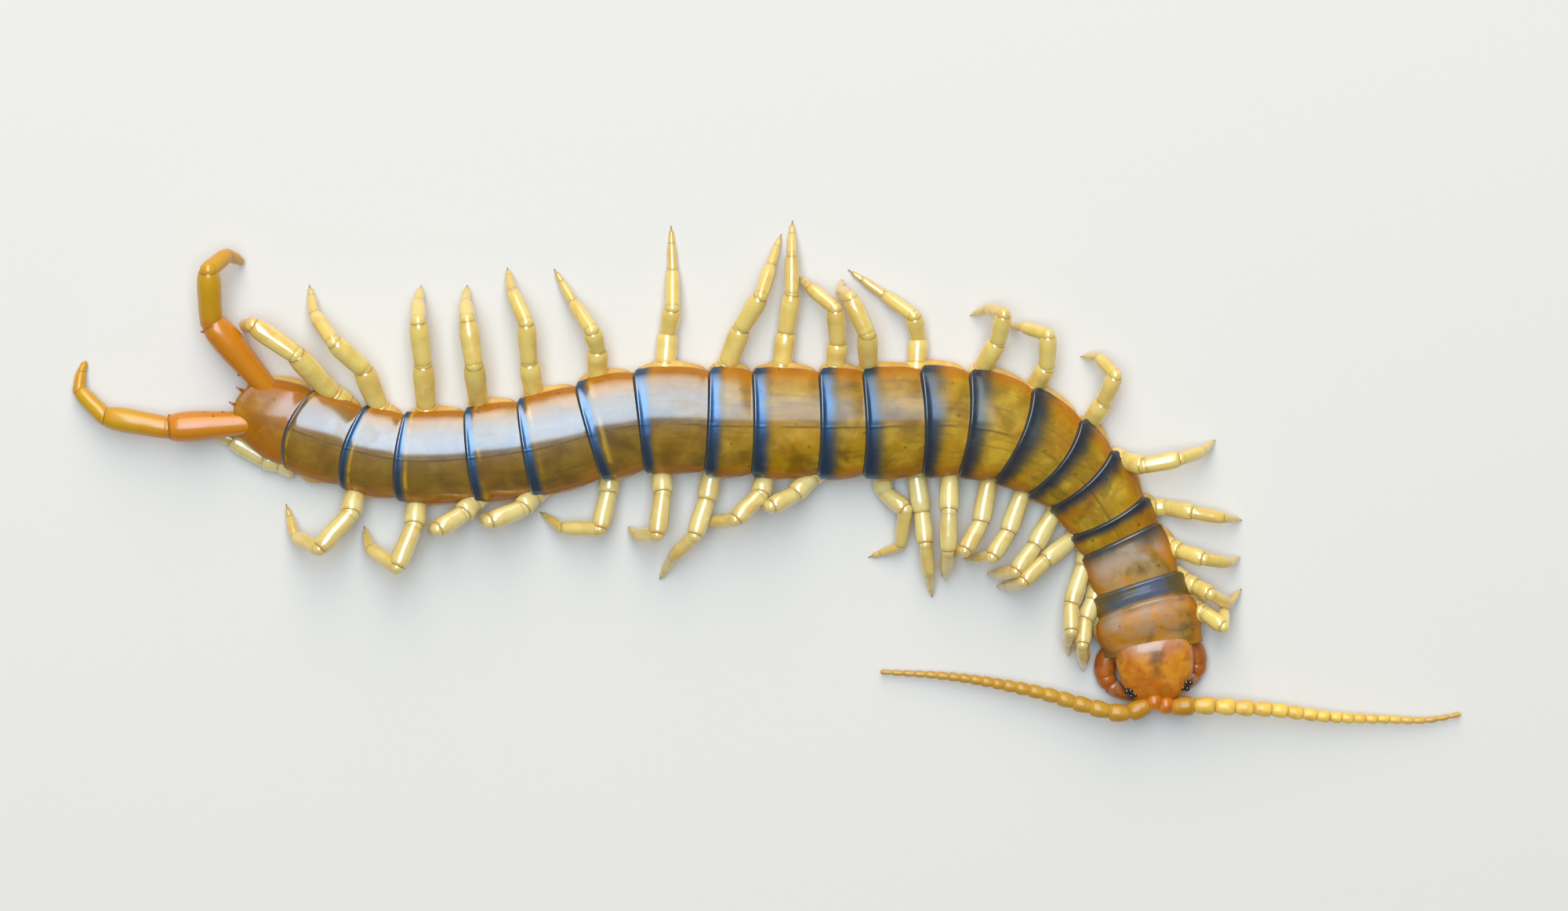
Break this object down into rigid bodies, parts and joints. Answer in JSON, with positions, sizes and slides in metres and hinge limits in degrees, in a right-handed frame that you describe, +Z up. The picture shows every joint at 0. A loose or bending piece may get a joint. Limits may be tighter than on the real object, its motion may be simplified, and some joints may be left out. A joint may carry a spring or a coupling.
{
  "type": "giant centipede",
  "caption": "Still life-size giant centipede lying on its belly, with glossy banded back plates, spread legs, curved fangs, long jointed feelers and a pair of stout end legs.",
  "frame": {"origin": "on the floor under the middle of the whole animal", "axes": "+X along the body towards the head end, +Y to the animal's left at mid body, +Z up"},
  "size_m": [0.1601, 0.0588, 0.0079],
  "materials": {
    "back_shell": "glossy horn, olive brown with blue-black rear bands",
    "head_shell": "glossy horn, reddish orange",
    "fang_shell": "glossy horn, orange brown with black points",
    "leg_shell": "waxy horn, pale yellow",
    "end_leg_shell": "glossy horn, orange to mustard yellow",
    "feeler_shell": "satin horn, golden yellow",
    "joint_skin": "soft leathery skin between the plates",
    "eye": "glossy black",
    "claw": "glossy dark brown"
  },
  "bodies": {
    "root": {"leg_left_1": "leg_shell", "leg_left_2": "leg_shell", "leg_left_3": "leg_shell", "leg_left_4": "leg_shell", "leg_left_5": "leg_shell", "leg_left_6": "leg_shell", "leg_left_7": "leg_shell", "leg_left_8": "leg_shell", "leg_left_9": "leg_shell", "leg_left_10": "leg_shell", "leg_left_11": "leg_shell", "leg_left_12": "leg_shell", "leg_left_13": "leg_shell", "leg_left_14": "leg_shell", "leg_left_15": "leg_shell", "leg_left_16": "leg_shell", "leg_left_17": "leg_shell", "leg_left_18": "leg_shell", "leg_left_19": "leg_shell", "leg_left_20": "leg_shell", "leg_right_1": "leg_shell", "leg_right_2": "leg_shell", "leg_right_3": "leg_shell", "leg_right_4": "leg_shell", "leg_right_5": "leg_shell", "leg_right_6": "leg_shell", "leg_right_7": "leg_shell", "leg_right_8": "leg_shell", "leg_right_9": "leg_shell", "leg_right_10": "leg_shell", "leg_right_11": "leg_shell", "leg_right_12": "leg_shell", "leg_right_13": "leg_shell", "leg_right_14": "leg_shell", "leg_right_15": "leg_shell", "leg_right_16": "leg_shell", "leg_right_17": "leg_shell", "leg_right_18": "leg_shell", "leg_right_19": "leg_shell", "leg_right_20": "leg_shell", "trunk_1_3": "back_shell", "trunk_4_6": "back_shell", "trunk_7_9": "back_shell", "trunk_10_12": "back_shell", "trunk_13_15": "back_shell", "trunk_16_18": "back_shell", "trunk_19_21": "back_shell", "end_leg_left": "end_leg_shell", "end_leg_right": "end_leg_shell", "head": "head_shell", "fang_plate": "fang_shell", "fang_left": "fang_shell", "fang_right": "fang_shell", "feeler_left": "feeler_shell", "feeler_right": "feeler_shell"}
  },
  "joints": []
}
